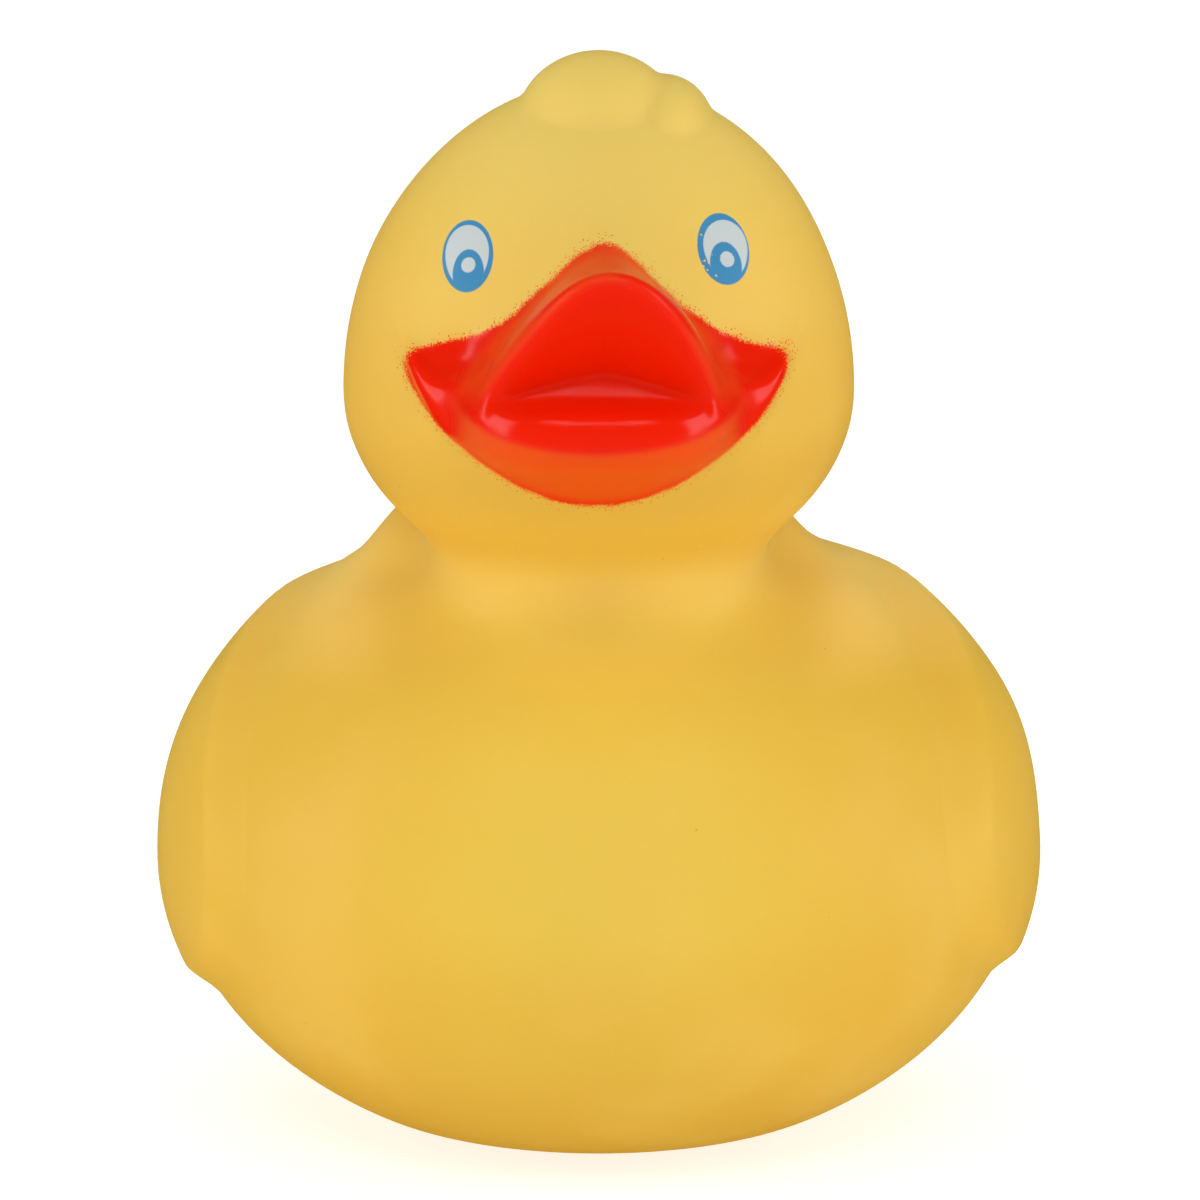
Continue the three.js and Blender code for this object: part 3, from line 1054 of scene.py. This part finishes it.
@dataclass(frozen=True)
class SprayedEnamel:
    """Glossy enamel sprayed through a mask: deep red where it is thick, orange where vinyl shows through.

    The drops of overspray are finer than this on the real one: they are drawn as coarse as they need to show.
    """

    full: str = "#e61c00"
    thin: str = "#e44c00"
    covers_at: float = 0.8
    roughness: float = 0.19
    thin_roughness: float = 0.6
    grain_mm: float = 0.14
    grain_detail: float = 2.0
    fuzz_mm: float = 0.45
    drift_mm: float = 2.2
    drift_detail: float = 1.0
    wander_mm: float = 0.22
    edge_mm: Span = (-0.14, 0.16)
    drop_cell_mm: float = 0.24
    drop_mm: float = 0.095
    drop_core: float = 0.5
    drops_mm: Span = (-0.8, 0.1)
    drops_share: float = 0.9

    def mask(self, tree: Tree, mm: Socket, inset: Socket) -> Node:
        """Finds where enamel covers the vinyl, with the grain of overspray along its edge.

        Args:
            tree: The material's node tree.
            mm: The place on the skin, in mm.
            inset: How far inside the painted area the place lies, in mm.

        Returns:
            The node whose output is the mask.
        """
        grain = (self.grain_mm, self.grain_detail, self.fuzz_mm)
        drift = (self.drift_mm, self.drift_detail, self.wander_mm)
        for size, detail, reach in (grain, drift):
            noise = node(tree, Kind.NOISE, {"Vector": mm, "Scale": 1.0 / size, "Detail": detail})
            shift = node(tree, Kind.RAMP, {0: noise, 3: -reach, 4: reach})
            inset = node(tree, Kind.MATH, {0: inset, 1: shift}, operation="ADD")
        edge = {0: inset, 1: self.edge_mm[0], 2: self.edge_mm[1]}
        solid = node(tree, Kind.RAMP, edge, **SMOOTH)
        cells = node(tree, Kind.CELLS, {"Vector": mm, "Scale": 1.0 / self.drop_cell_mm})
        size = self.drop_mm / self.drop_cell_mm
        dot = {0: cells, 1: size, 2: size * self.drop_core}
        drop = node(tree, Kind.RAMP, dot, **SMOOTH)
        pick = node(tree, Kind.CHANNELS, {0: cells.outputs["Color"]})
        fall = {0: inset, 1: self.drops_mm[0], 2: self.drops_mm[1], 4: self.drops_share}
        near = node(tree, Kind.RAMP, fall, **SMOOTH)
        kept = node(tree, Kind.MATH, {0: near, 1: pick}, operation="GREATER_THAN")
        drops = node(tree, Kind.MATH, {0: drop, 1: kept}, operation="MULTIPLY")
        return node(tree, Kind.MATH, {0: solid, 1: drops}, operation="MAXIMUM")


@dataclass(frozen=True)
class PadPrintInk:
    """Thin matt ink from a pad: crisp edges, and flecked off along the inner edge of the left eye."""

    blue: str = "#3f89b6"
    pale: str = "#c3cccb"
    roughness: float = 0.38
    edge_mm: float = 0.05
    wear_cell_mm: float = 0.34
    wear_mm: float = 0.12
    wear_core: float = 0.6
    wear_x_mm: Span = (9.4, 8.0)
    wear_share: float = 0.6

    def mask(self, tree: Tree, inset: Socket | Node) -> Node:
        """Returns the node whose output is the mask of one ink, with its crisp edge."""
        edge = {0: inset, 1: -self.edge_mm, 2: self.edge_mm}
        return node(tree, Kind.RAMP, edge, **SMOOTH)

    def wear(self, tree: Tree, mm: Socket) -> Node:
        """Finds where the ink has stayed on.

        Args:
            tree: The material's node tree.
            mm: The place on the skin, in mm.

        Returns:
            The node whose output is the share that is left, 0 in a fleck.
        """
        cells = node(tree, Kind.CELLS, {"Vector": mm, "Scale": 1.0 / self.wear_cell_mm})
        size = self.wear_mm / self.wear_cell_mm
        dot = {0: cells, 1: size, 2: size * self.wear_core}
        fleck = node(tree, Kind.RAMP, dot, **SMOOTH)
        pick = node(tree, Kind.CHANNELS, {0: cells.outputs["Color"]})
        across = node(tree, Kind.AXES, {0: mm})
        inner = {0: across, 1: self.wear_x_mm[0], 2: self.wear_x_mm[1], 4: self.wear_share}
        share = node(tree, Kind.RAMP, inner, **SMOOTH)
        left = node(tree, Kind.MATH, {0: across, 1: 0.0}, operation="GREATER_THAN")
        share = node(tree, Kind.MATH, {0: share, 1: left}, operation="MULTIPLY")
        worn = node(tree, Kind.MATH, {0: share, 1: pick}, operation="GREATER_THAN")
        fleck = node(tree, Kind.MATH, {0: fleck, 1: worn}, operation="MULTIPLY")
        return node(tree, Kind.MATH, {0: 1.0, 1: fleck}, operation="SUBTRACT")


@dataclass(frozen=True)
class DuckFinish:
    """The duck's one material: vinyl, then enamel on the bill, then ink on the eyes."""

    vinyl: RotocastVinyl = RotocastVinyl()
    enamel: SprayedEnamel = SprayedEnamel()
    ink: PadPrintInk = PadPrintInk()

    def make(self) -> bpy.types.Material:
        """Builds the material from its three finishes.

        Returns:
            The material.
        """
        # Cast vinyl is satin and glows a little at its edges, enamel over it is glossy, and the ink is matt.
        material = bpy.data.materials.new("rotocast_vinyl_sprayed_and_printed")
        material.use_nodes = True
        tree = material.node_tree
        tree.nodes.clear()
        place = node(tree, Kind.PLACE).outputs["Object"]
        mm = node(tree, Kind.SCALE, {0: place, 1: (1.0 / MM,) * 3}, operation="MULTIPLY").outputs[0]
        fields = {f: node(tree, Kind.FIELD, attribute_name=f.value).outputs["Fac"] for f in SkinField}
        coat = fields[SkinField.COAT]
        spray = self.enamel.mask(tree, mm, fields[SkinField.SPRAY])
        thick = node(tree, Kind.RAMP, {0: coat, 2: self.enamel.covers_at}, **SMOOTH)
        red = {0: thick, 6: linear(self.enamel.thin), 7: linear(self.enamel.full)}
        red = node(tree, Kind.MIX, red, **COLOURS).outputs[2]
        blue, pale = self._prints(tree, mm, fields)
        colour = self.vinyl.colour(tree, mm)
        for share, tone in ((spray, red), (blue, linear(self.ink.blue)), (pale, linear(self.ink.pale))):
            colour = node(tree, Kind.MIX, {0: share, 6: colour, 7: tone}, **COLOURS).outputs[2]
        shine = node(tree, Kind.MIX, {0: coat, 2: self.enamel.thin_roughness, 3: self.enamel.roughness})
        rough = node(tree, Kind.MIX, {0: spray, 2: self.vinyl.roughness, 3: shine})
        rough = node(tree, Kind.MIX, {0: blue, 2: rough, 3: self.ink.roughness})
        inputs = {
            "Base Color": colour,
            "Roughness": rough,
            "IOR": self.vinyl.ior,
            "Specular IOR Level": self.vinyl.specular,
            "Subsurface Weight": self.vinyl.scatter,
            "Subsurface Radius": self.vinyl.scatter_reach,
            "Subsurface Scale": self.vinyl.depth_mm * MM,
            "Normal": self.vinyl.grain(tree, mm, spray),
        }
        node(tree, Kind.OUTPUT, {"Surface": node(tree, Kind.SURFACE, inputs)})
        return material

    def _prints(self, tree: Tree, mm: Socket, fields: dict[SkinField, Socket]) -> tuple[Node, ...]:
        """Finds where the two inks lie: the blue egg less its flecks, and the crescent and spot over it.

        Args:
            tree: The material's node tree.
            mm: The place on the skin, in mm.
            fields: The skin's fields.

        Returns:
            The nodes whose outputs are the masks of the blue ink and of the pale ink.
        """
        blue = {0: self.ink.mask(tree, fields[SkinField.RIM]), 1: self.ink.wear(tree, mm)}
        around_pupil = node(tree, Kind.MATH, {0: fields[SkinField.PUPIL], 1: -1.0}, operation="MULTIPLY")
        crescent = node(tree, Kind.MATH, {0: fields[SkinField.WHITE], 1: around_pupil}, operation="MINIMUM")
        pale = node(tree, Kind.MATH, {0: crescent, 1: fields[SkinField.SPOT]}, operation="MAXIMUM")
        return node(tree, Kind.MATH, blue, operation="MULTIPLY"), self.ink.mask(tree, pale)


# ---- the duck


@dataclass(frozen=True)
class DuckSkin:
    """The shell's outer skin, with the fields its material reads."""

    form: DuckForm = DuckForm()
    mesher: SkinMesher = SkinMesher()
    eyes: EyePrint = EyePrint()
    spray: BillSpray = BillSpray()
    finish: DuckFinish = DuckFinish()
    name: str = "duck_skin"

    def build(self) -> bpy.types.Object:
        """Builds the skin's mesh, with its exact normals and its fields.

        Returns:
            The skin's object.
        """
        points, quads, normals = self.mesher.draw(self.form)
        mesh = bpy.data.meshes.new(self.name)
        mesh.from_pydata((points * MM).tolist(), [], quads.tolist())
        mesh.validate()
        mesh.shade_smooth()
        mesh.normals_split_custom_set_from_vertices(normals.tolist())
        p = tuple(points.T)
        values = [self.spray.inset(p, self.form), self.spray.coat(p, self.form), *self.eyes.insets(p)]
        for which, value in zip(SkinField, values):
            carrier = mesh.attributes.new(which.value, "FLOAT", "POINT")
            carrier.data.foreach_set("value", value.astype(np.float32))
        skin = bpy.data.objects.new(self.name, mesh)
        bpy.context.scene.collection.objects.link(skin)
        return skin

    def dress(self, skin: bpy.types.Object) -> None:
        """Gives the skin its material."""
        skin.data.materials.append(self.finish.make())


# ---- the studio


@dataclass(frozen=True)
class Softbox:
    """One area light, placed around the duck and turned to face it, with its lengths in metres."""

    azimuth: float
    elevation: float
    distance: float
    width: float
    height: float
    watts: float
    name: str
    glossy: bool = True

    def place(self, target: Vector) -> None:
        """Adds the light.

        Args:
            target: The point that the light faces.
        """
        data = bpy.data.lights.new(self.name, "AREA")
        data.shape = "RECTANGLE"
        data.size, data.size_y = self.width, self.height
        data.energy = self.watts
        light = bpy.data.objects.new(self.name, data)
        light.location = target + around(self.azimuth, self.elevation) * self.distance
        light.visible_glossy = self.glossy
        light.rotation_euler = (target - light.location).to_track_quat("-Z", "Y").to_euler()
        bpy.context.scene.collection.objects.link(light)


def around(azimuth: float, elevation: float) -> Vector:
    """Returns the unit direction from the duck at an azimuth, 0 in front, and an elevation, in degrees."""
    turn, lift = math.radians(azimuth), math.radians(elevation)
    return Vector((math.sin(turn) * math.cos(lift), -math.cos(turn) * math.cos(lift), math.sin(lift)))


@dataclass(frozen=True)
class Studio:
    """A pale floor, soft light from all round, and the camera, with lengths in metres."""

    floor_half: float = 8.0
    floor_colour: str = "#bcbcba"
    floor_glow: float = 0.72
    floor_roughness: float = 0.9
    floor_gap_mm: float = 0.02
    light: str = "#ffffff"
    world_strength: float = 0.46
    elevation: float = 10.0
    distance: float = 0.650
    aim_mm: Triple = (0.1, -2.0, 43.4)
    view_width: float = 0.09836
    sensor: float = 36.0
    boxes: tuple[Softbox, ...] = (
        Softbox(-36, 50, 0.9, 0.3, 0.3, 0.8, "right_softbox"),
        Softbox(36, 50, 0.9, 0.3, 0.3, 0.8, "left_softbox"),
        Softbox(0, 44, 1.0, 0.7, 0.3, 1.6, "top_softbox"),
        Softbox(180, 50, 1.1, 1.4, 0.8, 2.2, "back_softbox", False),
        Softbox(-85, 12, 0.9, 0.22, 0.6, 1.8, "right_strip"),
        Softbox(85, 12, 0.9, 0.22, 0.6, 1.8, "left_strip"),
        Softbox(0, 12, 1.1, 1.8, 1.2, 1.3, "front_fill", False),
    )

    def build(self) -> None:
        """Builds the floor, the world, the lights and the camera."""
        self._floor()
        self._world()
        middle = (CAD_BOX[0] + CAD_BOX[1]) * 0.5
        for box in self.boxes:
            box.place(middle)
        self._camera()

    def _floor(self) -> None:
        """Lays the plain floor at the height the duck stands on."""
        half = self.floor_half
        corners = [(-half, -half, 0), (half, -half, 0), (half, half, 0), (-half, half, 0)]
        mesh = bpy.data.meshes.new("floor")
        mesh.from_pydata(corners, [], [(0, 1, 2, 3)])
        floor = bpy.data.objects.new("floor", mesh)
        floor.location.z = CAD_BOX[0].z - self.floor_gap_mm * MM
        # Matt board gives no highlight, so the floor stays plain.
        paint = bpy.data.materials.new("matt_white_board")
        paint.use_nodes = True
        inputs = paint.node_tree.nodes["Principled BSDF"].inputs
        inputs["Base Color"].default_value = linear(self.floor_colour)
        inputs["Roughness"].default_value = self.floor_roughness
        inputs["Emission Color"].default_value = linear(self.light)
        inputs["Emission Strength"].default_value = self.floor_glow
        mesh.materials.append(paint)
        bpy.context.scene.collection.objects.link(floor)
        floor.visible_glossy = False

    def _world(self) -> None:
        """Sets an even white surround and plain colour management."""
        world = bpy.data.worlds.new("soft_surround")
        world.use_nodes = True
        inputs = world.node_tree.nodes["Background"].inputs
        inputs["Color"].default_value = linear(self.light)
        inputs["Strength"].default_value = self.world_strength
        world.cycles_visibility.glossy = False
        bpy.context.scene.world = world
        bpy.context.scene.view_settings.view_transform = "Standard"

    def _camera(self) -> None:
        """Adds the camera, a little above the duck and straight in front of it."""
        data = bpy.data.cameras.new("camera")
        data.sensor_width = self.sensor
        data.lens = self.sensor * self.distance / self.view_width
        camera = bpy.data.objects.new("camera", data)
        aim = Vector(self.aim_mm) * MM
        camera.location = aim + around(0.0, self.elevation) * self.distance
        camera.rotation_euler = (aim - camera.location).to_track_quat("-Z", "Y").to_euler()
        bpy.context.scene.collection.objects.link(camera)
        bpy.context.scene.camera = camera


def main() -> None:
    """Builds the duck and its studio, and reports them."""
    logging.basicConfig(level=logging.INFO, format="%(name)s: %(message)s")
    Studio().build()
    duck = DuckSkin()
    skin = duck.build()
    duck.dress(skin)
    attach(skin, "root")
    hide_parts("duck_body")
    LOG.info("%s: %d quads", skin.name, len(skin.data.polygons))


if __name__ == "__main__":
    main()
